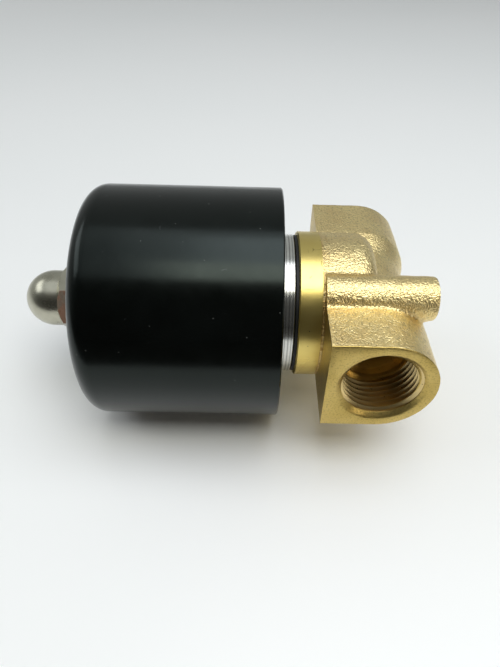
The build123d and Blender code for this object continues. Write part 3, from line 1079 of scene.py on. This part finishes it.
# %% [markdown]
# ## Coil can
#
# The can is drawn from steel sheet and dipped in black stoving enamel. The enamel is satin: it
# mirrors the lamp as a soft band. It isn't quite even, so a faint orange peel bends the band's
# edge, and a few specks of dust and light rubs from handling break it up.

# %% Black enamel
enamel, tree, shader, place = new_material(
    "black stoving enamel on drawn steel", IOR=1.37, **{"Specular Tint": colour("#E4F7EF")}
)
patches = cloudy(tree, place, 9, detail=4)
tone = two_tones(tree, patches, "#030403", "#080A09", start=0.35)
dust = flecks(tree, place, cell_mm=2.0, fleck_mm=0.12, share=0.2)
scuffs = scratches(tree, place, cell_mm=6, width_mm=0.07, share=-0.04)
scuffed = over(tree, over(tree, tone, dust, "#6E706C", 0.8), scuffs, "#4A4C4E", 0.7)
rubs = cloudy(tree, place, 3.5, detail=6, roughness=0.65)
tree.links.new(scuffed, shader.inputs["Base Color"])
tree.links.new(span(tree, rubs, 0.13, 0.27), shader.inputs["Roughness"])
add_bump(tree, shader, cloudy(tree, place, 1.3, detail=2), height_mm=0.004)
print("material:", enamel.name)

# %% [markdown]
# ## The other pieces
#
# The ring between can and brass is bright turned steel. The nut is nickel plated. Inside are the
# tube, the core, the plunger, the springs and the coil, which only show when the valve is taken
# apart; they get the same care, since the parts can be looked at one by one.

# %% Metals by recipe


def plain_metal(name, dark, light, rough, mark_mm, height_mm, ringed=True, streak=0.0):
    """A bright metal with blotches of tone, and with turning marks or a fine random grain."""
    material, tree, shader, place = new_material(name, Metallic=1.0)
    stain = cloudy(tree, place, 4)
    tone = two_tones(tree, stain, dark, light)
    if ringed:
        marks = turning_marks(tree, place, stem_centre, "X", mark_mm)
    else:
        marks = cloudy(tree, place, mark_mm)
    deep = ramp(tree, marks, [(0.42, grey(1.0)), (0.5, grey(0.0))])
    tree.links.new(over(tree, tone, deep, "#4C4A46", streak), shader.inputs["Base Color"])
    tree.links.new(span(tree, stain, rough - 0.05, rough + 0.05), shader.inputs["Roughness"])
    add_bump(tree, shader, marks, height_mm)
    return material


def dull(name, dark, light, rough, grain_mm, height_mm, **surface):
    """Rubber, plastic or tape: a soft mottle and a fine grain."""
    material, tree, shader, place = new_material(name, Roughness=rough, **surface)
    tone = two_tones(tree, cloudy(tree, place, 5), dark, light)
    tree.links.new(tone, shader.inputs["Base Color"])
    add_bump(tree, shader, cloudy(tree, place, grain_mm), height_mm)
    return material


# Each recipe: name, dark and light tone, roughness, then size and height of the marks in mm.
ring_steel = plain_metal("turned steel, bright", "#CFCFCA", "#E0E0DA", 0.2, 0.3, 0.009, streak=0.6)
nickel = plain_metal(
    "nickel plate on steel", "#ABA897", "#C1BEAD", 0.28, 0.5, 0.003, ringed=False
)
stainless = plain_metal("drawn stainless steel", "#B5B6B4", "#C6C7C4", 0.28, 0.3, 0.002)
zinc = plain_metal("zinc plated steel", "#A9ADB0", "#C3C7C6", 0.36, 0.4, 0.003, ringed=False)
copper = plain_metal("enamelled copper wire", "#B0593A", "#C8714A", 0.3, 0.45, 0.02)
foil = plain_metal(
    "blank aluminium foil disc", "#C4C5C3", "#D3D4D1", 0.38, 0.3, 0.002, ringed=False
)
rubber = dull("black nitrile rubber", "#0C0D0D", "#151615", 0.55, 0.3, 0.01)
nylon = dull("natural nylon", "#D9D3BE", "#E4DFCC", 0.42, 0.6, 0.004, **{"Subsurface Weight": 0.15})
nylon.node_tree.nodes["Principled BSDF"].inputs["Subsurface Scale"].default_value = MM
tape = dull("yellow polyester tape", "#C9A52E", "#D6B545", 0.3, 1.2, 0.004)
recipes = (ring_steel, nickel, stainless, zinc, copper, foil, rubber, nylon, tape)
print("materials:", [material.name for material in recipes])

# %% [markdown]
# A spanner has worn the thin plate off one flat of the nut, and brown rust shows there. The flat is
# in front and looks a little up. A point's distance from the axis along the way that the flat faces
# picks it out: the round parts of the nut end at 6.25 mm, and the flat lies at 6.5 mm.

# %% Wear on the nut
hexagon_x = nut_low.x + 8.55 * MM
hexagon_fade = 0.15 * MM
flat_tilt = math.radians(19.9)
flat_way = Vector((0, -math.cos(flat_tilt), math.sin(flat_tilt)))
flat_from, flat_full = 6.3 * MM, 6.42 * MM

tree = nickel.node_tree
shader = tree.nodes["Principled BSDF"]
place = tree.nodes["Texture Coordinate"].outputs["Object"]
axial = add_node(tree, "SeparateXYZ", {0: place}).outputs["X"]
on_hexagon = fade_in(tree, axial, hexagon_x - hexagon_fade, hexagon_x + hexagon_fade)
outward = add_node(tree, "VectorMath", {0: place, 1: flat_way}, operation="DOT_PRODUCT")
axis_level = flat_way.z * stem_height
on_flat = fade_in(tree, outward.outputs["Value"], axis_level + flat_from, axis_level + flat_full)
rusty = ramp(tree, cloudy(tree, place, 2.2, 4), [(0.38, grey(0.6)), (0.5, grey(1.0))])
worn_off = calc(tree, "MULTIPLY", calc(tree, "MULTIPLY", on_hexagon, on_flat), rusty)
plated = shader.inputs["Base Color"].links[0].from_socket
tree.links.new(over(tree, plated, worn_off, "#94725E"), shader.inputs["Base Color"])
tree.links.new(calc(tree, "SUBTRACT", 1.0, worn_off), shader.inputs["Metallic"])
print("worn:", round(math.degrees(flat_tilt), 1), "degrees above the front")

# %% [markdown]
# Last, each piece gets its material. The spring and the tube are of the same stainless steel.

# %% Dress the pieces

finishes = {
    "coil_shell": enamel,
    "bonnet": ring_steel,
    "dome_nut": nickel,
    "armature_tube": stainless,
    "fixed_core": stainless,
    "plunger": stainless,
    "disc_spring": zinc,
    "flux_plate": zinc,
    "upper_flux_sleeve": zinc,
    "lower_flux_sleeve": zinc,
    "lock_washer": zinc,
    "shading_ring": copper,
    "coil_winding": copper,
    "coil_bobbin": nylon,
    "winding_tape": tape,
    "bonnet_gasket": rubber,
    "plunger_seal": rubber,
    "lead_grommet": rubber,
    "end_disc": foil,
}
for name, material in finishes.items():
    for slot in frame["nodes"][name].material_slots:
        slot.material = material
return_spring.data.materials.append(stainless)
modelled_again = {"valve_body", "plunger_spring"}
print("pieces without a finish:", sorted(set(frame["nodes"]) - set(finishes) - modelled_again))
